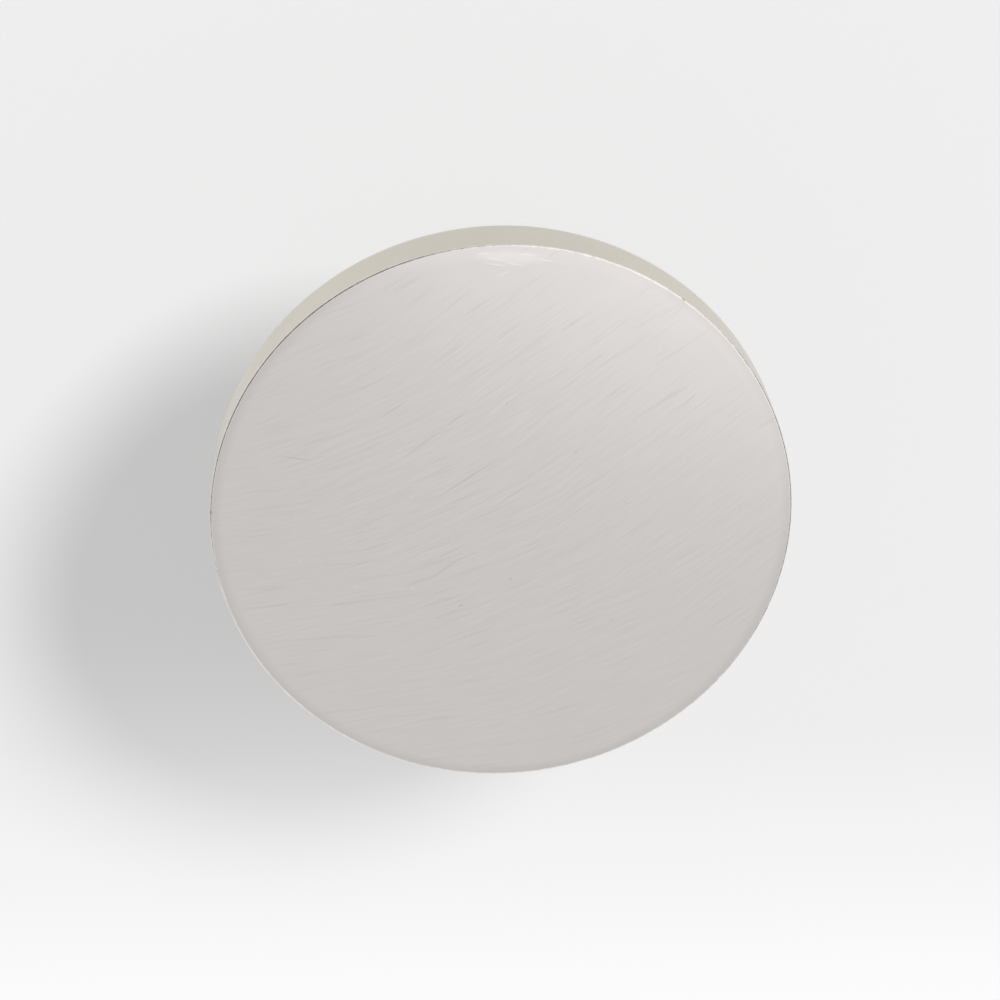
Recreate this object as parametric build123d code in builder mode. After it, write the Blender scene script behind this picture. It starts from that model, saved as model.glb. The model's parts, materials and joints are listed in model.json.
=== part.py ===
from build123d import *
from math import radians, tan
import os

# A round cabinet knob in one piece, held to a door or drawer front by a machine screw from behind.
# The origin is the centre of the mounting face. The knob stands out along -Y, and +Z is up.
# Sizes are in millimetres and angles in degrees.

# Overall
projection = 25.4  # from the mounting face to the middle of the crowned face

# Head
head_diameter = 32.0  # across the edge of the face, before it is broken
crown_rise = 0.7  # the middle of the face stands out this far past its edge
rim_depth = 4.9  # along the axis, from the edge of the face to the corner behind the rim
rim_draft = 3.5  # the rim narrows towards the back by this angle
face_edge_break = 0.12  # the crisp front edge, only just broken
back_edge_radius = 3.0  # the soft edge that the fingertips hold
underside_slope = 12.0  # the underside leans this far from square towards the stem

# Stem
neck_diameter = 9.0  # where the stem's taper would meet the underside, before the sweep
neck_sweep_radius = 2.5  # the hollow curve from the underside into the stem
foot_diameter = 12.0
foot_land = 1.2  # the straight band around the foot
foot_edge_break = 0.3  # the edge around the mounting face

# Hole tapped for a No. 8-32 machine screw, drilled here at its tapping size
tap_drill_diameter = 3.45
hole_depth = 13.0  # to the end of the full diameter
drill_point_angle = 118.0
hole_mouth_diameter = 4.8
hole_mouth_angle = 90.0

# Corners of the half section, as (radius, y)
rim_front = (head_diameter / 2, crown_rise - projection)
rim_back = (
    rim_front[0] - rim_depth * tan(radians(rim_draft)),
    rim_front[1] + rim_depth,
)
neck = (
    neck_diameter / 2,
    rim_back[1] + (rim_back[0] - neck_diameter / 2) * tan(radians(underside_slope)),
)
foot_front = (foot_diameter / 2, -foot_land)
foot_back = (foot_diameter / 2, 0)

drill_point_height = tap_drill_diameter / 2 / tan(radians(drill_point_angle / 2))

with BuildPart() as knob:
    # Half section on the right of the axis, from the middle of the face round to the mounting face
    with BuildSketch(Plane.XY) as half_section:
        with BuildLine():
            face = TangentArc((0, -projection), rim_front, tangent=(1, 0))
            Polyline(face @ 1, rim_back, neck, foot_front, foot_back, (0, 0), face @ 0)
        make_face()
        chamfer(half_section.vertices().sort_by_distance(rim_front)[0], length=face_edge_break)
        fillet(half_section.vertices().sort_by_distance(rim_back)[0], radius=back_edge_radius)
        fillet(half_section.vertices().sort_by_distance(neck)[0], radius=neck_sweep_radius)
        chamfer(half_section.vertices().sort_by_distance(foot_back)[0], length=foot_edge_break)
    revolve(axis=Axis.Y)

    # Blind screw hole, opened out at its mouth and ended by the drill's point
    with Locations(Plane.ZX):
        CounterSinkHole(
            radius=tap_drill_diameter / 2,
            counter_sink_radius=hole_mouth_diameter / 2,
            depth=hole_depth,
            counter_sink_angle=hole_mouth_angle,
        )
    with Locations(Plane.ZX.offset(-hole_depth)):
        Cone(
            bottom_radius=0,
            top_radius=tap_drill_diameter / 2,
            height=drill_point_height,
            align=(Align.CENTER, Align.CENTER, Align.MAX),
            mode=Mode.SUBTRACT,
        )

os.makedirs("parts", exist_ok=True)
knob.part.label = "knob"
export_step(knob.part, "parts/knob.step")
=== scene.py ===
"""A round cabinet knob in brushed nickel: its turned and tapped form, its finishes and a pale wall."""

import json
import math

import bmesh
import bpy
from bpy.props import FloatProperty, FloatVectorProperty, IntProperty, PointerProperty
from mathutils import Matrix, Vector


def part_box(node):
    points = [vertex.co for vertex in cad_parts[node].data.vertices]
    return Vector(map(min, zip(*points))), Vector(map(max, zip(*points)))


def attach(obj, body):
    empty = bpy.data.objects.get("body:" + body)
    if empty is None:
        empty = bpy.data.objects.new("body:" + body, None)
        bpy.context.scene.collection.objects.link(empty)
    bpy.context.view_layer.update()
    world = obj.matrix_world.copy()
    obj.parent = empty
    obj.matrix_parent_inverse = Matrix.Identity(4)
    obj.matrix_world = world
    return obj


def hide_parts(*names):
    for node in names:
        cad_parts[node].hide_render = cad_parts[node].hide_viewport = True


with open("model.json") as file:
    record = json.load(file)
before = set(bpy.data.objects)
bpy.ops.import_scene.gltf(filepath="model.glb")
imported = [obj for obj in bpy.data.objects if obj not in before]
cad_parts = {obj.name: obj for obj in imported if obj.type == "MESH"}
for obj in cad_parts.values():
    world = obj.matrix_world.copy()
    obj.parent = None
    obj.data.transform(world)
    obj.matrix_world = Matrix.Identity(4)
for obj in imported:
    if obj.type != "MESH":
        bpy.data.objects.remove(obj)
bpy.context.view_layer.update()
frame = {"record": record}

bl_info = {
    "name": "Cabinet Knob",
    "version": (1, 0, 0),
    "blender": (4, 5, 0),
    "location": "3D View > Sidebar > Cabinet Knob",
    "description": "Turns, taps and finishes a round cabinet knob and sets it on a studio wall",
    "category": "Object",
}

# The frame that the knob is built around
BODY = "root"
NODE = "knob"
SLOT = "brushed_nickel"
MM = 0.001
knob_low, knob_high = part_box(NODE)
screw_hole = next(mount for mount in frame["record"]["mounts"] if mount["name"] == "screw_hole")
nickel = next(finish for finish in frame["record"]["materials"] if finish["slot"] == SLOT)

# Marks on the face, as (across, up, length, width) in millimetres and the angle in degrees: dark marks of
# use, and light ones that are painted glints
DARK_MARKS = (
    (4.02, 3.89, 0.22, 0.20, 40),
    (0.47, -3.67, 0.24, 0.20, 60),
    (-2.28, -5.23, 0.34, 0.20, 30),
    (6.04, -6.44, 0.20, 0.18, 0),
    (0.25, 6.85, 0.26, 0.16, 70),
    (-11.25, 3.75, 2.30, 0.11, -8),
    (-2.05, 2.36, 5.40, 0.14, 34),
    (0.70, 1.52, 2.60, 0.11, 33),
    (-3.08, -2.93, 2.60, 0.12, 36),
    (-2.78, -1.91, 2.40, 0.09, 29),
    (-5.91, 6.62, 2.20, 0.10, 33),
    (-4.45, 4.47, 3.60, 0.09, 37),
    (-2.49, 6.00, 2.20, 0.09, 38),
    (10.22, 6.65, 1.70, 0.10, 44),
)
# Real scratches and specks, painted lighter than the nickel as painted glints for the light that they
# catch; most sit by the top edge, where the edge glints
PAINTED_GLINT_MARKS = (
    (-5.00, 1.43, 0.22, 0.20, 20),
    (-4.92, -4.13, 0.22, 0.20, 0),
    (-11.05, -2.38, 0.22, 0.20, 0),
    (-8.10, -3.98, 0.20, 0.18, 0),
    (-0.40, 15.20, 1.60, 0.12, -10),
    (0.75, 14.85, 1.40, 0.12, -14),
    (0.10, 14.35, 1.10, 0.10, 20),
    (0.60, 15.25, 5.20, 1.10, -4),
    (-0.95, 15.50, 1.20, 0.15, 3),
    (1.40, 15.40, 1.50, 0.15, -6),
    (-0.20, 14.85, 1.80, 0.12, -9),
    (2.40, 15.05, 1.30, 0.12, -14),
)


# Settings that a user would change


def length(name, description, millimetres):
    """A length property that is written in millimetres and held in metres."""
    return FloatProperty(
        name=name, description=description, default=millimetres * MM, min=0, precision=5, unit="LENGTH"
    )


def angle(name, description, degrees):
    """An angle property that is written in degrees."""
    return FloatProperty(name=name, description=description, default=math.radians(degrees), subtype="ANGLE")


def factor(name, description, default):
    """A share from 0 to 1."""
    return FloatProperty(
        name=name, description=description, default=default, min=0, max=1, subtype="FACTOR"
    )


def colour(name, description, default):
    """A linear colour."""
    return FloatVectorProperty(
        name=name, description=description, default=default, size=3, min=0, max=1, subtype="COLOR"
    )


class KnobShape(bpy.types.PropertyGroup):
    """Sizes of the turned knob"""

    projection: length("Projection", "From the mounting face to the middle of the crown", -knob_low.y / MM)
    head_radius: length("Head radius", "To the edge of the face", knob_high.x / MM)
    crown_rise: length("Crown rise", "How far the middle of the face stands past its edge", 0.7)
    roll_width: length("Roll width", "Band inside the edge that the brushing has rolled over", 0.8)
    roll_angle: angle("Roll angle", "How far that band leans from square", 4.9)
    roll_radius: length("Roll radius", "Soft curve from the crown into the rolled band", 6.0)
    edge_radius: length("Edge radius", "The crisp edge of the face, only just broken", 0.12)
    rim_depth: length("Rim depth", "From the edge of the face to the corner behind the rim", 4.9)
    rim_draft: angle("Rim draft", "How far the rim narrows towards the back", 3.5)
    back_radius: length("Back radius", "The soft edge that the fingertips hold", 3.0)
    underside_slope: angle("Underside slope", "How far the underside leans towards the stem", 12)
    neck_radius: length("Neck radius", "Where the stem would meet the underside", 4.5)
    neck_sweep: length("Neck sweep", "Hollow curve from the underside into the stem", 2.5)
    foot_radius: length("Foot radius", "Of the band around the foot", 6.0)
    foot_land: length("Foot land", "Depth of the band around the foot", 1.2)
    foot_break: length("Foot break", "Rounding of the foot's two corners", 0.3)
    mouth_radius: length("Hole mouth", "Radius of the screw hole where it opens", 2.4)
    mouth_break: length("Mouth break", "Rounding of the hole's outer corner", 0.08)
    tap_radius: length("Tap radius", "Radius of the screw hole", screw_hole["dims"]["r_mm"])
    bore_length: length("Bore length", "Straight part of the screw hole", screw_hole["dims"]["length_mm"])
    point_angle: angle("Drill point", "Angle of the drill's point", 118)
    thread_pitch: length("Thread pitch", "Of the No. 8-32 thread", 25.4 / 32)
    thread_radius: length("Thread radius", "To the bottom of the thread's groove", 2.083)
    segments: IntProperty(name="Segments", description="Around the axis", default=192, min=24)
    corner_steps: IntProperty(name="Corner steps", description="In each rounded corner", default=12, min=2)
    rings_per_turn: IntProperty(name="Rings per turn", description="In the thread", default=12, min=6)


class NickelFinish(bpy.types.PropertyGroup):
    """Colours and brushing of the plated metal"""

    nickel: colour("Nickel", "The plated metal", nickel["base_color"])
    # The turned nickel is lighter and warmer than the face's; part of that lift is painted light, for the
    # wall and the warm light above that the rim mirrors
    turned: colour(
        "Turned nickel", "The plated metal where it is turned and not brushed", (0.675, 0.632, 0.553)
    )
    tapped: colour("Tapped metal", "The metal that the tap has cut", (0.46, 0.45, 0.43))
    face_roughness: factor("Face roughness", "Of the brushed face", 0.24)
    turned_roughness: factor("Turned roughness", "Of the rim, the stem and the foot", 0.38)
    edge_roughness: factor("Edge roughness", "Of the broken edge, which hands have polished", 0.28)
    tapped_roughness: factor("Tapped roughness", "Inside the screw hole", 0.42)
    brush_angle: angle("Brush angle", "Of the streaks across the middle of the face", 29)
    brush_fan: angle("Brush fan", "Change of that angle from one side of the face to the other", 26)
    brush_lean: angle("Brush lean", "The way across the face in which the streaks grow steeper", 42)
    brush_cross: angle("Brush cross", "How far each pass is turned against the next", 5)
    streak_length: length("Streak length", "Of one brushed streak", 2.6)
    streak_width: length("Streak width", "Of one brushed streak", 0.155)


class StudioStage(bpy.types.PropertyGroup):
    """Wall, light and camera"""

    wall: factor("Wall", "Level of the wall out of the shadow", 0.857)
    wall_low: factor("Low wall", "The same where the light gathers below", 0.975)
    wall_paint: factor("Wall paint", "Part of that level that is paint, which takes the shadow", 0.4175)
    wall_low_paint: factor("Low wall paint", "The same towards the bottom", 0.05)
    wall_mirrored: FloatProperty(
        name="Mirrored wall", description="How much of the wall's glow the metal mirrors", default=1.06
    )
    wall_radius: FloatProperty(name="Wall radius", description="Of the wall", default=0.7, unit="LENGTH")
    key_power: FloatProperty(name="Key power", description="Of the soft lamp", default=56.5, unit="POWER")
    key_size: FloatProperty(
        name="Key size", description="Across the soft lamp", default=0.60, unit="LENGTH"
    )
    key_distance: FloatProperty(name="Key distance", description="To the knob", default=2.5, unit="LENGTH")
    key_azimuth: angle("Key azimuth", "To the right of the knob's axis", 23.9)
    key_elevation: angle("Key elevation", "Above the knob", 32.1)
    ambient: FloatProperty(name="Ambient", description="Level of the light from all round", default=0.31)
    studio_level: FloatProperty(
        name="Studio level", description="Level of the room that the metal mirrors", default=0.922
    )
    studio_bright: FloatProperty(
        name="Studio bright side", description="Added to that level around the lamp", default=0.48
    )
    camera_azimuth: angle("Camera azimuth", "Round the knob", -3.344)
    camera_elevation: angle("Camera elevation", "Above the knob", 24.701)
    camera_distance: FloatProperty(
        name="Camera distance", description="To the face", default=0.45, unit="LENGTH"
    )
    camera_lens: FloatProperty(name="Camera lens", description="In millimetres", default=295.67)
    aim_across: length("Aim across", "Left of the axis, where the camera looks", 0.078)
    aim_up: length("Aim up", "Above the axis, where the camera looks", 0.812)


# Helpers for node trees


def new_node(tree, kind, **settings):
    """Adds a node and sets its own settings."""
    node = tree.nodes.new(kind)
    for name, value in settings.items():
        setattr(node, name, value)
    return node


def feed(tree, socket, value):
    """Links another socket to this one, or sets its value."""
    if isinstance(value, bpy.types.NodeSocket):
        tree.links.new(value, socket)
    else:
        socket.default_value = value


def feed_all(tree, node, **values):
    """Feeds a node's inputs by their names, with underscores for spaces."""
    for name, value in values.items():
        feed(tree, node.inputs[name.replace("_", " ")], value)
    return node


def calc(tree, operation, *values):
    """One step of arithmetic on numbers."""
    node = new_node(tree, "ShaderNodeMath", operation=operation)
    for socket, value in zip(node.inputs, values):
        feed(tree, socket, value)
    return node.outputs["Value"]


def vector_calc(tree, operation, *values):
    """One step of arithmetic on vectors. A length or a distance comes out as a number."""
    node = new_node(tree, "ShaderNodeVectorMath", operation=operation)
    for socket, value in zip(node.inputs, values):
        feed(tree, socket, value)
    return node.outputs["Value" if operation in ("LENGTH", "DISTANCE", "DOT_PRODUCT") else "Vector"]


def ramp(tree, value, start, end, first=0.0, last=1.0, kind="LINEAR"):
    """Goes from first to last as the value goes from start to end, and stays there."""
    node = new_node(tree, "ShaderNodeMapRange", interpolation_type=kind)
    feed_all(tree, node, Value=value, From_Min=start, From_Max=end, To_Min=first, To_Max=last)
    return node.outputs["Result"]


def split(tree, vector):
    """X, Y and Z of a vector."""
    node = new_node(tree, "ShaderNodeSeparateXYZ")
    feed(tree, node.inputs["Vector"], vector)
    return node.outputs["X"], node.outputs["Y"], node.outputs["Z"]


def combine(tree, x, y, z):
    """A vector from its three numbers."""
    node = new_node(tree, "ShaderNodeCombineXYZ")
    feed_all(tree, node, X=x, Y=y, Z=z)
    return node.outputs["Vector"]


def off_axis(tree, x, z):
    """Distance from the knob's axis."""
    return calc(tree, "SQRT", calc(tree, "ADD", calc(tree, "MULTIPLY", x, x), calc(tree, "MULTIPLY", z, z)))


def add_sockets(tree, in_out, sockets):
    """Adds the named sockets of a tree or a group. A kind may have a subtype after a space."""
    for name, kind in sockets.items():
        kind, _, subtype = kind.partition(" ")
        socket = tree.interface.new_socket(name=name, in_out=in_out, socket_type="NodeSocket" + kind)
        if subtype:
            socket.subtype = subtype


# The turned and tapped form


def half_section(shape):
    """Corners from the crown to the hole, as (radius, height, rounding, ring spacing)."""
    crown_radius = (shape.head_radius**2 + shape.crown_rise**2) / (2 * shape.crown_rise)
    crown_rings = 24
    crown_edge = shape.head_radius - shape.roll_width
    wide = 1.5 * MM
    fine = shape.thread_pitch / shape.rings_per_turn
    corners = []
    for ring in range(crown_rings + 1):
        radius = crown_edge * ring / crown_rings
        drop = crown_radius - math.sqrt(crown_radius**2 - radius**2)
        rounding = shape.roll_radius if ring == crown_rings else 0
        corners.append((radius, shape.projection - drop, rounding, wide))

    face_height = shape.projection - shape.crown_rise
    edge_height = corners[-1][1] - shape.roll_width * math.tan(shape.roll_angle)
    back_radius = shape.head_radius - shape.rim_depth * math.tan(shape.rim_draft)
    back_height = face_height - shape.rim_depth
    neck_height = back_height - (back_radius - shape.neck_radius) * math.tan(shape.underside_slope)
    mouth_depth = shape.mouth_radius - shape.tap_radius
    bore_end = mouth_depth + shape.bore_length
    point_height = bore_end + shape.tap_radius / math.tan(shape.point_angle / 2)
    corners += [
        (shape.head_radius, edge_height, shape.edge_radius, wide),
        (back_radius, back_height, shape.back_radius, wide),
        (shape.neck_radius, neck_height, shape.neck_sweep, wide),
        (shape.foot_radius, shape.foot_land, shape.foot_break, wide),
        (shape.foot_radius, 0, shape.foot_break, wide),
        (shape.mouth_radius, 0, shape.mouth_break, fine),
        (shape.tap_radius, mouth_depth, 0, fine),
        (shape.tap_radius, bore_end, 0, wide),
        (0, point_height, 0, wide),
    ]
    return corners


def section_object(shape):
    """An object whose mesh is the line of the half section, with each corner's rounding and spacing."""
    corners = half_section(shape)
    mesh = bpy.data.meshes.new("half_section")
    points = [(radius, height, 0) for radius, height, rounding, spacing in corners]
    mesh.from_pydata(points, [(i, i + 1) for i in range(len(points) - 1)], [])
    for name, place in (("rounding", 2), ("ring_spacing", 3)):
        attribute = mesh.attributes.new(name, "FLOAT", "POINT")
        attribute.data.foreach_set("value", [corner[place] for corner in corners])
    section = bpy.data.objects.new("knob_finished", mesh)
    bpy.context.scene.collection.objects.link(section)
    return section


def named_number(tree, name):
    """A number that each point carries under this name."""
    node = new_node(tree, "GeometryNodeInputNamedAttribute", data_type="FLOAT")
    feed_all(tree, node, Name=name)
    return node.outputs["Attribute"]


def rounded_section(tree, section, corner_steps):
    """The half section as a curve, with its corners rounded and its long runs divided into rings."""
    line = feed_all(tree, new_node(tree, "GeometryNodeMeshToCurve"), Mesh=section)
    rounding = named_number(tree, "rounding")
    steps = calc(tree, "MULTIPLY", corner_steps, calc(tree, "GREATER_THAN", rounding, 0.0))
    rounded = new_node(tree, "GeometryNodeFilletCurve", mode="POLY")
    feed_all(tree, rounded, Curve=line.outputs["Curve"], Count=steps, Radius=rounding, Limit_Radius=True)

    here = new_node(tree, "GeometryNodeInputPosition").outputs["Position"]
    index = new_node(tree, "GeometryNodeInputIndex").outputs["Index"]
    following = new_node(tree, "GeometryNodeOffsetPointInCurve")
    feed_all(tree, following, Point_Index=index, Offset=1)
    there = new_node(tree, "GeometryNodeFieldAtIndex", data_type="FLOAT_VECTOR", domain="POINT")
    feed_all(tree, there, Value=here, Index=following.outputs["Point Index"])
    run = vector_calc(tree, "DISTANCE", here, there.outputs["Value"])
    cuts = calc(tree, "FLOOR", calc(tree, "DIVIDE", run, named_number(tree, "ring_spacing")))
    divided = new_node(tree, "GeometryNodeSubdivideCurve")
    feed_all(tree, divided, Curve=rounded.outputs["Curve"], Cuts=cuts)
    return divided.outputs["Curve"]


def turned(tree, section, segments):
    """The section swept once round the Z axis, with its seam and its two poles closed."""
    path_radius = 1 * MM
    path = new_node(tree, "GeometryNodeCurvePrimitiveCircle", mode="RADIUS")
    feed_all(tree, path, Resolution=segments, Radius=path_radius)
    upright = new_node(tree, "GeometryNodeSetCurveNormal", mode="Z_UP")
    feed_all(tree, upright, Curve=path.outputs["Curve"])
    placed = new_node(tree, "GeometryNodeTransform")
    feed_all(tree, placed, Geometry=section, Translation=(-path_radius, 0, 0), Scale=(1, -1, 1))
    swept = new_node(tree, "GeometryNodeCurveToMesh")
    feed_all(tree, swept, Curve=upright.outputs["Curve"], Profile_Curve=placed.outputs["Geometry"])
    closed = new_node(tree, "GeometryNodeMergeByDistance")
    feed_all(tree, closed, Geometry=swept.outputs["Mesh"], Distance=0.001 * MM)
    return closed.outputs["Geometry"]


def tapped(tree, solid, sizes):
    """Cuts the right-handed thread into the bore, out of its mouth and fading towards its end."""
    root_half = 1 / 16
    flank = math.tan(math.radians(30))
    x, y, height = split(tree, new_node(tree, "GeometryNodeInputPosition").outputs["Position"])
    radius = off_axis(tree, x, y)
    turns = calc(tree, "DIVIDE", calc(tree, "ARCTAN2", y, x), math.tau)
    along = calc(tree, "SUBTRACT", calc(tree, "DIVIDE", height, sizes["Thread Pitch"]), turns)
    from_groove = calc(tree, "ABSOLUTE", calc(tree, "SUBTRACT", calc(tree, "FRACT", along), 0.5))
    depth = calc(tree, "SUBTRACT", sizes["Thread Radius"], sizes["Tap Radius"])
    flank_share = calc(tree, "DIVIDE", calc(tree, "MULTIPLY", depth, flank), sizes["Thread Pitch"])
    groove = ramp(tree, from_groove, root_half, calc(tree, "ADD", flank_share, root_half), 1.0, 0.0)
    run_out = calc(tree, "SUBTRACT", sizes["Bore End"], calc(tree, "MULTIPLY", sizes["Thread Pitch"], 3.0))
    lead = ramp(tree, height, run_out, sizes["Bore End"], 1.0, 0.0)
    cut = calc(tree, "MULTIPLY", calc(tree, "MULTIPLY", groove, lead), depth)
    wanted = calc(tree, "MAXIMUM", radius, calc(tree, "ADD", cut, sizes["Tap Radius"]))
    growth = calc(tree, "DIVIDE", wanted, radius)
    in_hole = calc(
        tree,
        "MULTIPLY",
        calc(tree, "LESS_THAN", radius, sizes["Mouth Radius"]),
        calc(tree, "LESS_THAN", height, sizes["Bore End"]),
    )
    cut_solid = new_node(tree, "GeometryNodeSetPosition")
    place = combine(
        tree, calc(tree, "MULTIPLY", x, growth), calc(tree, "MULTIPLY", y, growth), height
    )
    feed_all(tree, cut_solid, Geometry=solid, Selection=in_hole, Position=place)
    return cut_solid.outputs["Geometry"]


def smoothed(tree, solid):
    """Smooth faces with hard lines only where two faces meet at a corner."""
    hard_angle = math.radians(28)
    smooth = new_node(tree, "GeometryNodeSetShadeSmooth", domain="FACE")
    feed_all(tree, smooth, Geometry=solid, Shade_Smooth=True)
    edge_angle = new_node(tree, "GeometryNodeInputMeshEdgeAngle").outputs["Unsigned Angle"]
    hard = new_node(tree, "GeometryNodeSetShadeSmooth", domain="EDGE")
    feed_all(
        tree,
        hard,
        Geometry=smooth.outputs["Geometry"],
        Selection=calc(tree, "GREATER_THAN", edge_angle, hard_angle),
        Shade_Smooth=False,
    )
    return hard.outputs["Geometry"]


def with_finishes(tree, solid, sizes):
    """Realizes the solid and gives each zone its finish."""
    real = feed_all(tree, new_node(tree, "GeometryNodeRealizeInstances"), Geometry=solid)
    x, y, z = split(tree, new_node(tree, "GeometryNodeInputPosition").outputs["Position"])
    height = calc(tree, "MULTIPLY", y, -1.0)
    radius = off_axis(tree, x, z)
    in_front = calc(tree, "GREATER_THAN", height, sizes["Edge Front"])
    on_edge = calc(
        tree,
        "MULTIPLY",
        calc(tree, "LESS_THAN", height, sizes["Edge Front"]),
        calc(tree, "GREATER_THAN", height, sizes["Edge Back"]),
    )
    on_seat = calc(tree, "LESS_THAN", height, 0.001 * MM)
    in_hole = calc(
        tree,
        "MULTIPLY",
        calc(tree, "LESS_THAN", radius, sizes["Mouth Radius"]),
        calc(tree, "LESS_THAN", height, sizes["Edge Back"]),
    )
    finished = real.outputs["Geometry"]
    for finish, zone in (
        ("Turned Finish", True),
        ("Face Finish", in_front),
        ("Edge Finish", on_edge),
        ("Seat Finish", on_seat),
        ("Hole Finish", in_hole),
    ):
        node = new_node(tree, "GeometryNodeSetMaterial")
        feed_all(tree, node, Geometry=finished, Selection=zone, Material=sizes[finish])
        finished = node.outputs["Geometry"]
    return finished


def lathe_tree():
    """The tree that turns a half section, taps its hole and hands out the finishes."""
    tree = bpy.data.node_groups.new("turned_and_tapped", "GeometryNodeTree")
    lengths = (
        "Tap Radius",
        "Thread Radius",
        "Thread Pitch",
        "Mouth Radius",
        "Bore End",
        "Edge Front",
        "Edge Back",
    )
    finishes = ("Turned Finish", "Face Finish", "Edge Finish", "Seat Finish", "Hole Finish")
    add_sockets(tree, "INPUT", {"Section": "Geometry", "Segments": "Int", "Corner Steps": "Int"})
    add_sockets(tree, "INPUT", dict.fromkeys(lengths, "Float DISTANCE"))
    add_sockets(tree, "INPUT", dict.fromkeys(finishes, "Material"))
    add_sockets(tree, "OUTPUT", {"Knob": "Geometry"})
    sizes = new_node(tree, "NodeGroupInput").outputs
    section = rounded_section(tree, sizes["Section"], sizes["Corner Steps"])
    solid = smoothed(tree, tapped(tree, turned(tree, section, sizes["Segments"]), sizes))
    facing = new_node(tree, "GeometryNodeTransform")
    feed_all(tree, facing, Geometry=solid, Rotation=(math.radians(90), 0, 0))
    finished = with_finishes(tree, facing.outputs["Geometry"], sizes)
    feed_all(tree, new_node(tree, "NodeGroupOutput"), Knob=finished)
    return tree


def turn_knob(shape, finishes):
    """Runs the lathe on the half section and leaves a plain mesh that stands for the knob's solid."""
    knob = section_object(shape)
    corners = half_section(shape)
    edge_height = next(
        height for radius, height, rounding, spacing in corners if rounding == shape.edge_radius
    )
    bore_end = shape.mouth_radius - shape.tap_radius + shape.bore_length
    values = {
        "Segments": shape.segments,
        "Corner Steps": shape.corner_steps,
        "Tap Radius": shape.tap_radius,
        "Thread Radius": shape.thread_radius,
        "Thread Pitch": shape.thread_pitch,
        "Mouth Radius": shape.mouth_radius,
        "Bore End": bore_end,
        "Edge Front": edge_height + shape.edge_radius * math.sin(shape.roll_angle),
        "Edge Back": edge_height - shape.edge_radius,
        **finishes,
    }
    tree = lathe_tree()
    lathe = knob.modifiers.new("lathe", "NODES")
    lathe.node_group = tree
    for item in tree.interface.items_tree:
        if item.in_out == "INPUT" and item.name in values:
            lathe[item.identifier] = values[item.name]
    evaluated = knob.evaluated_get(bpy.context.evaluated_depsgraph_get())
    mesh = bpy.data.meshes.new_from_object(evaluated)
    knob.modifiers.remove(lathe)
    knob.data = mesh
    mesh.name = knob.name
    for name in ("rounding", "ring_spacing"):
        spare = mesh.attributes.get(name)
        if spare:
            mesh.attributes.remove(spare)
    return knob


# Effects that several finishes share


def shader_group(name, inputs, outputs):
    """A new shader group with its sockets, its input node's outputs and its output node."""
    group = bpy.data.node_groups.new(name, "ShaderNodeTree")
    add_sockets(group, "INPUT", inputs)
    add_sockets(group, "OUTPUT", outputs)
    return group, new_node(group, "NodeGroupInput").outputs, new_node(group, "NodeGroupOutput")


def noise(tree, vector, detail, roughness):
    """Soft noise of about one unit's size, from 0 to 1."""
    node = new_node(tree, "ShaderNodeTexNoise", noise_dimensions="3D")
    feed_all(tree, node, Vector=vector, Scale=1.0, Detail=detail, Roughness=roughness)
    return node.outputs["Fac"]


def along_and_across(tree, x, z, angle):
    """Distances along a stroke at this angle, and across it."""
    cosine = calc(tree, "COSINE", angle)
    sine = calc(tree, "SINE", angle)
    along = calc(tree, "ADD", calc(tree, "MULTIPLY", x, cosine), calc(tree, "MULTIPLY", z, sine))
    across = calc(tree, "SUBTRACT", calc(tree, "MULTIPLY", z, cosine), calc(tree, "MULTIPLY", x, sine))
    return along, across


def brush_pass_group():
    """One pass of the brush across a flat: fine grain, and here and there a deeper scratch."""
    group, given, result = shader_group(
        "brush_pass",
        {"Vector": "Vector", "Angle": "Float ANGLE", "Length": "Float", "Width": "Float", "Seed": "Float"},
        {"Grain": "Float", "Scratch": "Float"},
    )
    x, y, z = split(group, given["Vector"])
    along, across = along_and_across(group, x, z, given["Angle"])
    along = calc(group, "DIVIDE", along, given["Length"])
    across = calc(group, "DIVIDE", across, given["Width"])
    grain = noise(group, combine(group, along, across, given["Seed"]), 1.0, 0.5)

    # A scratch runs a little aslant, and is longer and broader than the grain
    slant_slope = 0.1
    scratch_seed = 5.5
    slant = calc(group, "DIVIDE", calc(group, "MULTIPLY", given["Length"], slant_slope), given["Width"])
    slip = calc(group, "MULTIPLY_ADD", along, slant, across)
    place_in_noise = combine(
        group,
        calc(group, "MULTIPLY", along, 0.75),
        calc(group, "MULTIPLY", slip, 0.62),
        calc(group, "ADD", given["Seed"], scratch_seed),
    )
    deep = noise(group, place_in_noise, 1.0, 0.5)
    feed_all(group, result, Grain=grain, Scratch=ramp(group, deep, 0.58, 0.77))
    return group


def turned_lines_group():
    """Fine lines that the cutting tool leaves round the axis."""
    group, given, result = shader_group(
        "turned_lines", {"Vector": "Vector", "Spacing": "Float", "Seed": "Float"}, {"Lines": "Float"}
    )
    x, y, z = split(group, given["Vector"])
    out = calc(group, "DIVIDE", off_axis(group, x, z), given["Spacing"])
    down = calc(group, "DIVIDE", y, given["Spacing"])
    round_axis = calc(group, "COSINE", calc(group, "ARCTAN2", z, x))
    place_in_noise = combine(group, calc(group, "ADD", out, given["Seed"]), down, round_axis)
    feed_all(group, result, Lines=noise(group, place_in_noise, 3.0, 0.6))
    return group


def handling_haze_group():
    """Broad faint cloudiness where plating and handling have left the metal uneven."""
    group, given, result = shader_group(
        "handling_haze", {"Vector": "Vector", "Size": "Float"}, {"Haze": "Float"}
    )
    scaled = vector_calc(group, "DIVIDE", given["Vector"], combine(group, *[given["Size"]] * 3))
    feed_all(group, result, Haze=ramp(group, noise(group, scaled, 3.0, 0.55), 0.3, 0.7))
    return group


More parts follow.
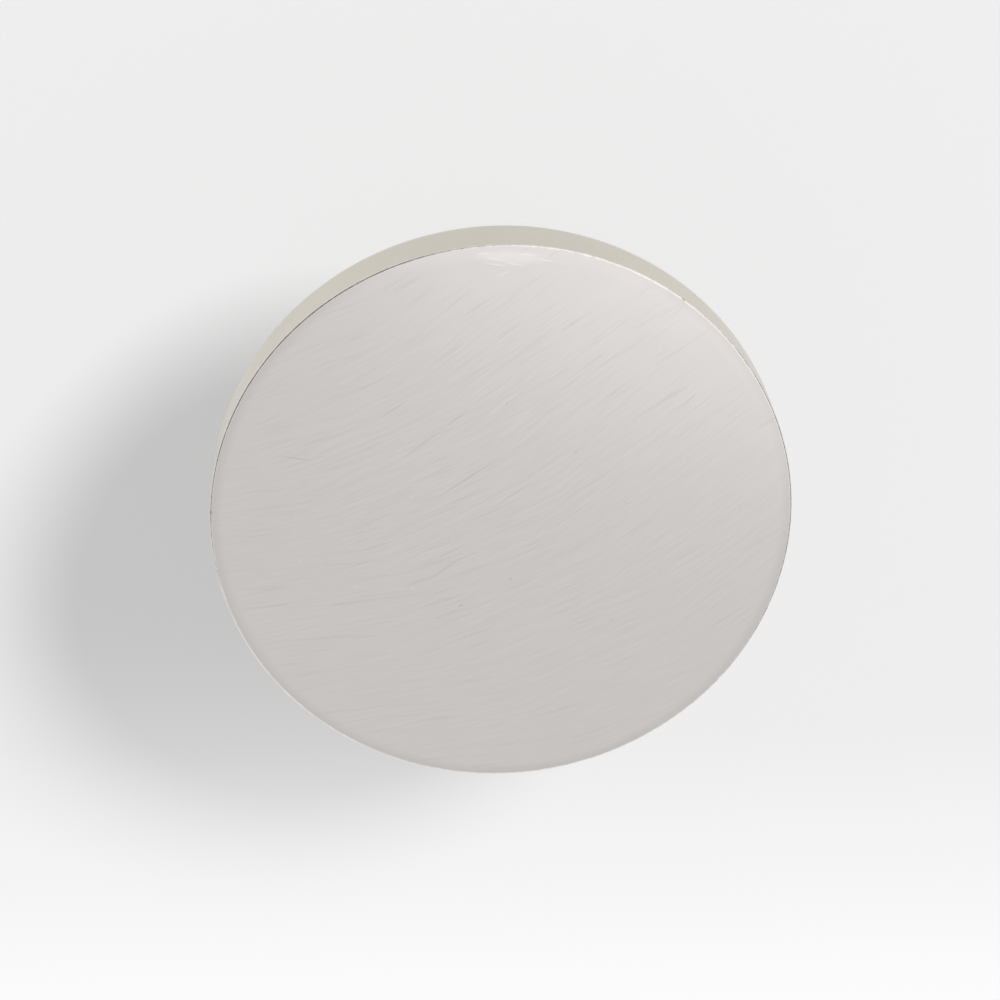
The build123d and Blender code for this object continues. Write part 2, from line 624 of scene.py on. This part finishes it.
def pinholes_group():
    """Sparse pinholes in the plating."""
    group, given, result = shader_group(
        "pinholes",
        {"Vector": "Vector", "Cell": "Float", "Radius": "Float", "Share": "Float"},
        {"Pinholes": "Float"},
    )
    scaled = vector_calc(group, "DIVIDE", given["Vector"], combine(group, *[given["Cell"]] * 3))
    cells = new_node(group, "ShaderNodeTexVoronoi", feature="F1", voronoi_dimensions="3D")
    feed_all(group, cells, Vector=scaled, Scale=1.0)
    draw, green, blue = split(group, cells.outputs["Color"])
    chosen = calc(group, "LESS_THAN", draw, given["Share"])
    reach = calc(group, "DIVIDE", given["Radius"], given["Cell"])
    hole = ramp(group, cells.outputs["Distance"], calc(group, "MULTIPLY", reach, 0.5), reach, 1.0, 0.0)
    feed_all(group, result, Pinholes=calc(group, "MULTIPLY", hole, chosen))
    return group


def single_mark_group():
    """One scratch or speck on the face, strongest along its middle."""
    group, given, result = shader_group(
        "single_mark",
        {
            "Vector": "Vector",
            "Across": "Float",
            "Up": "Float",
            "Angle": "Float ANGLE",
            "Length": "Float",
            "Width": "Float",
        },
        {"Mark": "Float"},
    )
    x, y, z = split(group, given["Vector"])
    right = calc(group, "SUBTRACT", x, given["Across"])
    up = calc(group, "SUBTRACT", z, given["Up"])
    along, across = along_and_across(group, right, up, given["Angle"])
    along = calc(group, "DIVIDE", along, given["Length"])
    across = calc(group, "DIVIDE", across, given["Width"])
    reach = off_axis(group, along, across)
    feed_all(group, result, Mark=ramp(group, reach, 0.1, 0.5, 1.0, 0.0, "SMOOTHSTEP"))
    return group


class Effects:
    """The shared effects, built once and placed in each finish."""

    def __init__(self):
        self.brush_pass = brush_pass_group()
        self.turned_lines = turned_lines_group()
        self.handling_haze = handling_haze_group()
        self.pinholes = pinholes_group()
        self.single_mark = single_mark_group()


def place(tree, group, **values):
    """Places a shared effect in a finish with its own values."""
    node = new_node(tree, "ShaderNodeGroup", node_tree=group)
    return feed_all(tree, node, **values).outputs


# Finishes


def new_finish(name):
    """A metal with a Principled shader, and the Object coordinates that its effects read."""
    material = bpy.data.materials.new(name)
    material.use_nodes = True
    tree = material.node_tree
    tree.nodes.clear()
    shader = new_node(tree, "ShaderNodeBsdfPrincipled")
    output = new_node(tree, "ShaderNodeOutputMaterial")
    tree.links.new(shader.outputs["BSDF"], output.inputs["Surface"])
    where = new_node(tree, "ShaderNodeTexCoord").outputs["Object"]
    return material, tree, shader, where


def mixed_colour(tree, share, first, second):
    """A colour between two others."""
    colour_a, colour_b, colour_result = 6, 7, 2
    node = new_node(tree, "ShaderNodeMix", data_type="RGBA", clamp_factor=True)
    feed(tree, node.inputs["Factor"], share)
    feed(tree, node.inputs[colour_a], first)
    feed(tree, node.inputs[colour_b], second)
    return node.outputs[colour_result]


def shade(tint, level):
    """A colour at another level, as the four numbers of a colour socket."""
    return (*[min(1.0, channel * level) for channel in tint], 1.0)


def changed(tree, tone, mask, share, goal):
    """A tone that goes this share of the way to another colour where the mask is 1."""
    return mixed_colour(tree, calc(tree, "MULTIPLY", mask, share), tone, goal)


def relief(tree, height, depth):
    """A normal from a height of 0 to 1 that stands for this depth in metres."""
    bump = new_node(tree, "ShaderNodeBump")
    feed_all(tree, bump, Strength=1.0, Distance=depth, Height=height)
    return bump.outputs["Normal"]


def weighed_sum(tree, parts):
    """The sum of values, each times its weight."""
    total = calc(tree, "MULTIPLY", *parts[0])
    for part in parts[1:]:
        total = calc(tree, "MULTIPLY_ADD", *part, total)
    return total


def face_finish(finish, effects):
    """Nickel brushed in passes whose direction fans out across the face, with the marks of use, lighter
    scratches that are painted glints, and a band of painted shade inside the edge.
    """
    material, tree, shader, where = new_finish("nickel_brushed_face")
    metal = finish.nickel
    passes = 5
    spacing = 5.1 * MM
    seed_step = 3.7
    x, y, z = split(tree, where)
    lean = weighed_sum(tree, [(x, math.cos(finish.brush_lean)), (z, math.sin(finish.brush_lean))])
    half = (passes - 1) / 2
    lean = ramp(tree, lean, -half * spacing, half * spacing, -half, half)
    grains = []
    scratches = []
    for number in range(passes):
        step = number - half
        cross = finish.brush_cross * (number % 2 - 0.5)
        stroke = place(
            tree,
            effects.brush_pass,
            Vector=where,
            Angle=finish.brush_angle + finish.brush_fan * step / (passes - 1) + cross,
            Length=finish.streak_length,
            Width=finish.streak_width,
            Seed=seed_step * number,
        )
        apart = calc(tree, "ABSOLUTE", calc(tree, "SUBTRACT", lean, step))
        weight = ramp(tree, apart, 0.0, 1.0, 1.0, 0.0)
        grains.append((stroke["Grain"], weight))
        scratches.append((stroke["Scratch"], weight))
    grain = weighed_sum(tree, grains)
    scratch = weighed_sum(tree, scratches)
    haze = place(tree, effects.handling_haze, Vector=where, Size=5 * MM)["Haze"]
    patches = place(tree, effects.handling_haze, Vector=where, Size=2.6 * MM)["Haze"]
    scratch = calc(tree, "MULTIPLY", scratch, ramp(tree, patches, 0.25, 0.75, 0.2, 1.0))

    # The brushing shows most a little up and to the left of the middle
    aside = 2 * MM
    reach = off_axis(tree, calc(tree, "ADD", x, aside), calc(tree, "SUBTRACT", z, aside))
    strength = ramp(tree, reach, 3 * MM, 13 * MM, 1.2, 0.7)
    scratch = calc(tree, "MULTIPLY", scratch, strength)
    grain = calc(tree, "MULTIPLY_ADD", calc(tree, "SUBTRACT", grain, 0.5), strength, 0.5)
    mottle_size = 0.09 * MM
    mottle_share = 0.08
    mottle = noise(tree, vector_calc(tree, "DIVIDE", where, (mottle_size,) * 3), 1.0, 0.5)
    grain = calc(tree, "SUBTRACT", grain, mottle_share / 2)
    grain = calc(tree, "MULTIPLY_ADD", mottle, mottle_share, grain)
    pinholes = place(
        tree, effects.pinholes, Vector=where, Cell=2.2 * MM, Radius=0.07 * MM, Share=0.12
    )["Pinholes"]
    marks = {}
    for kind, listed in (("dark", DARK_MARKS), ("bright", PAINTED_GLINT_MARKS)):
        drawn = []
        for across, up, long, wide, turn in listed:
            mark = place(
                tree,
                effects.single_mark,
                Vector=where,
                Across=across * MM,
                Up=up * MM,
                Angle=math.radians(turn),
                Length=long * MM,
                Width=wide * MM,
            )
            drawn.append((mark["Mark"], 1.0))
        marks[kind] = weighed_sum(tree, drawn)

    # Painted shade: a narrow band inside the edge is darker, standing in for the darker room that its
    # slight roll mirrors, but hardly so at the top, where the edge mirrors the bright side
    edge_painted_shade = ramp(tree, off_axis(tree, x, z), 15.2 * MM, 15.95 * MM, 0.0, 1.0, "SMOOTHSTEP")
    edge_painted_shade = calc(tree, "MULTIPLY", edge_painted_shade, ramp(tree, z, 12.5 * MM, 15 * MM, 0.6, 0.1))
    tone = mixed_colour(tree, grain, shade(metal, 0.942), shade(metal, 1.058))
    tone = changed(tree, tone, haze, 0.5, shade(metal, 0.98))
    tone = changed(tree, tone, scratch, 0.62, shade(metal, 0.86))
    dark = weighed_sum(tree, [(pinholes, 0.5), (marks["dark"], 0.6)])
    tone = mixed_colour(tree, dark, tone, shade(metal, 0.80))
    # Painted glints: the bright scratches and specks go towards a nickel lighter than the metal itself
    tone = changed(tree, tone, marks["bright"], 0.4, shade(metal, 1.22))
    # Paint the shade into the band inside the edge
    tone = mixed_colour(tree, edge_painted_shade, tone, shade(metal, 0.85))
    feed(tree, shader.inputs["Base Color"], tone)
    shader.inputs["Metallic"].default_value = 1.0
    rough = weighed_sum(tree, [(grain, 0.10), (haze, 0.03), (scratch, 0.06)])
    feed(tree, shader.inputs["Roughness"], calc(tree, "ADD", rough, finish.face_roughness - 0.065))
    height = weighed_sum(tree, [(grain, 1.0), (scratch, -0.5)])
    feed(tree, shader.inputs["Normal"], relief(tree, height, 0.0004 * MM))
    return material


def turned_finish(name, tint, roughness, line_spacing, line_depth, effects):
    """Nickel over lines that a lathe tool left round the axis, clouded by handling."""
    material, tree, shader, where = new_finish(name)
    lines = place(tree, effects.turned_lines, Vector=where, Spacing=line_spacing, Seed=0.0)["Lines"]
    haze = place(tree, effects.handling_haze, Vector=where, Size=4 * MM)["Haze"]
    pinholes = place(
        tree, effects.pinholes, Vector=where, Cell=2.5 * MM, Radius=0.08 * MM, Share=0.10
    )["Pinholes"]
    tone = mixed_colour(tree, lines, shade(tint, 0.95), shade(tint, 1.05))
    tone = changed(tree, tone, haze, 0.4, shade(tint, 0.97))
    tone = changed(tree, tone, pinholes, 0.5, shade(tint, 0.75))
    feed(tree, shader.inputs["Base Color"], tone)
    shader.inputs["Metallic"].default_value = 1.0
    rough = weighed_sum(tree, [(lines, 0.08), (haze, 0.05)])
    feed(tree, shader.inputs["Roughness"], calc(tree, "ADD", rough, roughness - 0.065))
    height = weighed_sum(tree, [(lines, 1.0), (pinholes, -1.0)])
    feed(tree, shader.inputs["Normal"], relief(tree, height, line_depth))
    return material


def edge_finish(finish, effects):
    """The broken edge, polished by hands and nicked here and there, with its nickel painted lighter to
    strengthen the glint along it.
    """
    material, tree, shader, where = new_finish("nickel_polished_edge_painted_glint")
    haze = place(tree, effects.handling_haze, Vector=where, Size=0.4 * MM)["Haze"]
    nicks = place(
        tree, effects.pinholes, Vector=where, Cell=0.7 * MM, Radius=0.16 * MM, Share=0.22
    )["Pinholes"]
    # Painted highlight: the edge's nickel goes up to 1.3 times lighter than the metal, which makes its
    # glint stronger
    tone = mixed_colour(tree, haze, shade(finish.nickel, 1.02), shade(finish.nickel, 1.30))
    tone = changed(tree, tone, nicks, 0.6, shade(finish.nickel, 0.7))
    feed(tree, shader.inputs["Base Color"], tone)
    shader.inputs["Metallic"].default_value = 1.0
    rough = weighed_sum(tree, [(haze, 0.08), (nicks, 0.15)])
    feed(tree, shader.inputs["Roughness"], calc(tree, "ADD", rough, finish.edge_roughness - 0.04))
    height = weighed_sum(tree, [(haze, 0.8), (nicks, -1.0)])
    feed(tree, shader.inputs["Normal"], relief(tree, height, 0.008 * MM))
    return material


def knob_finishes(finish):
    """Every finish of the knob, by the lathe input that it goes to."""
    effects = Effects()
    return {
        "Face Finish": face_finish(finish, effects),
        "Edge Finish": edge_finish(finish, effects),
        "Turned Finish": turned_finish(
            "nickel_satin_turned", finish.turned, finish.turned_roughness, 0.12 * MM, 0.0006 * MM, effects
        ),
        "Seat Finish": turned_finish(
            "nickel_faced_seat", finish.turned, finish.turned_roughness, 0.22 * MM, 0.003 * MM, effects
        ),
        "Hole Finish": turned_finish(
            "nickel_tapped_hole", finish.tapped, finish.tapped_roughness, 0.18 * MM, 0.002 * MM, effects
        ),
    }


# Stage


def towards(azimuth, elevation):
    """A direction from the knob, with azimuth 0 straight out of its face and elevation above the level."""
    return Vector(
        (
            math.sin(azimuth) * math.cos(elevation),
            -math.cos(azimuth) * math.cos(elevation),
            math.sin(elevation),
        )
    )


def in_metal(tree, path):
    """1 for what the camera sees mirrored in the knob, and 0 for the light that the wall gets from it."""
    shiny = calc(tree, "MAXIMUM", path["Is Glossy Ray"], path["Is Transmission Ray"])
    return calc(tree, "MULTIPLY", shiny, calc(tree, "LESS_THAN", path["Diffuse Depth"], 0.5))


def wall_paint(stage):
    """Paint that takes the shadow, with a glow that the camera and the metal see, and clear from behind."""
    material, tree, shader, where = new_finish("wall_paint")
    x, y, z = split(tree, where)
    paint = ramp(tree, z, -16 * MM, -43.6 * MM, stage.wall_paint, stage.wall_low_paint, "SMOOTHSTEP")
    level = ramp(tree, z, -26 * MM, -44 * MM, stage.wall, stage.wall_low)
    feed(tree, shader.inputs["Base Color"], paint)
    shader.inputs["Roughness"].default_value = 0.8
    shader.inputs["Specular IOR Level"].default_value = 0.0
    path = new_node(tree, "ShaderNodeLightPath").outputs
    middle_gain = stage.wall_mirrored
    side_gain = middle_gain + 0.12
    gain = ramp(tree, calc(tree, "ABSOLUTE", x), 10 * MM, 17 * MM, middle_gain, side_gain)
    shown = calc(tree, "MULTIPLY_ADD", in_metal(tree, path), gain, path["Is Camera Ray"])
    glow = new_node(tree, "ShaderNodeEmission")
    feed_all(tree, glow, Strength=calc(tree, "MULTIPLY", shown, calc(tree, "SUBTRACT", level, paint)))
    pale = new_node(tree, "ShaderNodeAddShader")
    tree.links.new(shader.outputs["BSDF"], pale.inputs[0])
    tree.links.new(glow.outputs["Emission"], pale.inputs[1])
    clear = new_node(tree, "ShaderNodeBsdfTransparent")
    seen = new_node(tree, "ShaderNodeMixShader")
    tree.links.new(new_node(tree, "ShaderNodeNewGeometry").outputs["Backfacing"], seen.inputs["Fac"])
    tree.links.new(pale.outputs["Shader"], seen.inputs[1])
    tree.links.new(clear.outputs["BSDF"], seen.inputs[2])
    output = next(node for node in tree.nodes if node.type == "OUTPUT_MATERIAL")
    tree.links.new(seen.outputs["Shader"], output.inputs["Surface"])
    return material


def build_wall(stage, shape):
    """A flat wall behind the knob, open under the foot so that light reaches the mounting face."""
    gap = 0.02 * MM
    opening = shape.foot_radius - 3 * shape.foot_break
    steps = 96
    mesh = bpy.data.meshes.new("studio_wall")
    drawn = bmesh.new()
    rings = []
    for radius in (opening, stage.wall_radius):
        ring = []
        for step in range(steps):
            turn = math.tau * step / steps
            ring.append(drawn.verts.new((radius * math.cos(turn), gap, radius * math.sin(turn))))
        rings.append(ring)
    for step in range(steps):
        after = (step + 1) % steps
        drawn.faces.new((rings[0][step], rings[1][step], rings[1][after], rings[0][after]))
    drawn.to_mesh(mesh)
    drawn.free()
    mesh.materials.append(wall_paint(stage))
    wall = bpy.data.objects.new("studio_wall", mesh)
    bpy.context.scene.collection.objects.link(wall)


def build_key(stage):
    """One large soft lamp, up and to the right in front of the knob, which the metal doesn't mirror."""
    lamp = bpy.data.lights.new("soft_key", "AREA")
    lamp.shape = "DISK"
    lamp.size = stage.key_size
    lamp.energy = stage.key_power
    key = bpy.data.objects.new("soft_key", lamp)
    direction = towards(stage.key_azimuth, stage.key_elevation)
    key.location = direction * stage.key_distance
    key.rotation_mode = "QUATERNION"
    key.rotation_quaternion = (-direction).to_track_quat("-Z", "Y")
    key.visible_glossy = False
    bpy.context.scene.collection.objects.link(key)


def build_world(stage):
    """Even light from all round, a pale background, and a soft studio for the metal to mirror."""
    world = bpy.data.worlds.new("pale_studio")
    world.use_nodes = True
    tree = world.node_tree
    tree.nodes.clear()
    direction = new_node(tree, "ShaderNodeTexCoord").outputs["Generated"]

    # The mirrored room: bright around the lamp, dark at its two sides, and dimmer straight ahead
    right_side = (0.95, 0, -0.31)
    left_side = (-0.9, 0, 0.43)
    bright_side = towards(math.radians(29), math.radians(24.5))
    facing_right, facing_left, facing_bright = [
        vector_calc(tree, "DOT_PRODUCT", direction, side) for side in (right_side, left_side, bright_side)
    ]
    dark_right = ramp(tree, facing_right, 0.63, 0.84, 1.0, 0.25, "SMOOTHSTEP")
    dark_left = ramp(tree, facing_left, 0.27, 0.58, 1.0, 0.25, "SMOOTHSTEP")
    bright = ramp(tree, facing_bright, 0.655, 0.705, 0.0, stage.studio_bright, "SMOOTHSTEP")
    x, y, z = split(tree, direction)
    dim_above = ramp(tree, z, -0.11, 0.07, 0.0, 0.3, "SMOOTHSTEP")
    dim_ahead = calc(tree, "MULTIPLY", dim_above, ramp(tree, y, -0.8, -0.95))
    level = calc(tree, "ADD", bright, stage.studio_level)
    for share in (dark_left, dark_right, calc(tree, "SUBTRACT", 1.0, dim_ahead)):
        level = calc(tree, "MULTIPLY", level, share)
    tint = new_node(tree, "ShaderNodeVectorMath", operation="SCALE")
    tint.inputs[0].default_value = (0.99, 1.0, 1.07)
    feed(tree, tint.inputs["Scale"], level)
    backdrop = 0.855
    tones = {
        "ambient": (1, 1, 1, 1),
        "mirrored": tint.outputs["Vector"],
        "pale": (backdrop, backdrop, backdrop, 1),
    }
    backgrounds = {}
    for name, tone in tones.items():
        backgrounds[name] = new_node(tree, "ShaderNodeBackground")
        feed(tree, backgrounds[name].inputs["Color"], tone)
    backgrounds["ambient"].inputs["Strength"].default_value = stage.ambient
    path = new_node(tree, "ShaderNodeLightPath").outputs
    mirrored = new_node(tree, "ShaderNodeMixShader")
    tree.links.new(in_metal(tree, path), mirrored.inputs["Fac"])
    tree.links.new(backgrounds["ambient"].outputs[0], mirrored.inputs[1])
    tree.links.new(backgrounds["mirrored"].outputs[0], mirrored.inputs[2])
    seen = new_node(tree, "ShaderNodeMixShader")
    tree.links.new(path["Is Camera Ray"], seen.inputs["Fac"])
    tree.links.new(mirrored.outputs[0], seen.inputs[1])
    tree.links.new(backgrounds["pale"].outputs[0], seen.inputs[2])
    output = new_node(tree, "ShaderNodeOutputWorld")
    tree.links.new(seen.outputs[0], output.inputs["Surface"])
    bpy.context.scene.world = world


def build_camera(stage, shape):
    """The camera at the photograph's angle, looking at the middle of the face."""
    lens = bpy.data.cameras.new("photo_camera")
    lens.lens = stage.camera_lens
    lens.clip_start = 0.01
    camera = bpy.data.objects.new("photo_camera", lens)
    back = towards(stage.camera_azimuth, stage.camera_elevation)
    aim = Vector((-stage.aim_across, shape.crown_rise - shape.projection, stage.aim_up))
    camera.location = aim + back * stage.camera_distance
    camera.rotation_mode = "QUATERNION"
    camera.rotation_quaternion = (-back).to_track_quat("-Z", "Y")
    bpy.context.scene.collection.objects.link(camera)
    bpy.context.scene.camera = camera


# Operators, panel and registration


class CABINET_KNOB_OT_turn(bpy.types.Operator):
    """Turns the knob, taps its screw hole and gives each surface its nickel finish"""

    bl_idname = "cabinet_knob.turn"
    bl_label = "Turn Knob"

    def execute(self, context):
        scene = context.scene
        knob = turn_knob(scene.knob_shape, knob_finishes(scene.nickel_finish))
        if not knob.data.polygons:
            raise RuntimeError("the lathe made no faces")
        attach(knob, BODY)
        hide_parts(NODE)
        return {"FINISHED"}


class CABINET_KNOB_OT_stage(bpy.types.Operator):
    """Sets up the wall, the light and the camera"""

    bl_idname = "cabinet_knob.stage"
    bl_label = "Set Up Stage"

    def execute(self, context):
        scene = context.scene
        build_wall(scene.studio_stage, scene.knob_shape)
        build_key(scene.studio_stage)
        build_world(scene.studio_stage)
        build_camera(scene.studio_stage, scene.knob_shape)
        scene.view_settings.view_transform = "Standard"
        return {"FINISHED"}


class CABINET_KNOB_PT_sidebar(bpy.types.Panel):
    """Sizes, finishes and stage of the knob"""

    bl_label = "Cabinet Knob"
    bl_space_type = "VIEW_3D"
    bl_region_type = "UI"
    bl_category = "Cabinet Knob"

    def draw(self, context):
        for settings, operator in (
            ("knob_shape", CABINET_KNOB_OT_turn),
            ("nickel_finish", None),
            ("studio_stage", CABINET_KNOB_OT_stage),
        ):
            box = self.layout.box()
            group = getattr(context.scene, settings)
            for name in group.__annotations__:
                box.prop(group, name)
            if operator:
                box.operator(operator.bl_idname)


CLASSES = (
    KnobShape,
    NickelFinish,
    StudioStage,
    CABINET_KNOB_OT_turn,
    CABINET_KNOB_OT_stage,
    CABINET_KNOB_PT_sidebar,
)


def register():
    """Registers the classes and puts the settings on the scene."""
    for made in CLASSES:
        bpy.utils.register_class(made)
    bpy.types.Scene.knob_shape = PointerProperty(type=KnobShape)
    bpy.types.Scene.nickel_finish = PointerProperty(type=NickelFinish)
    bpy.types.Scene.studio_stage = PointerProperty(type=StudioStage)


def unregister():
    """Takes the settings and the classes away again."""
    del bpy.types.Scene.studio_stage
    del bpy.types.Scene.nickel_finish
    del bpy.types.Scene.knob_shape
    for made in reversed(CLASSES):
        bpy.utils.unregister_class(made)


def main():
    """Builds the knob and its stage."""
    register()
    bpy.ops.cabinet_knob.turn()
    bpy.ops.cabinet_knob.stage()


if __name__ == "__main__":
    main()
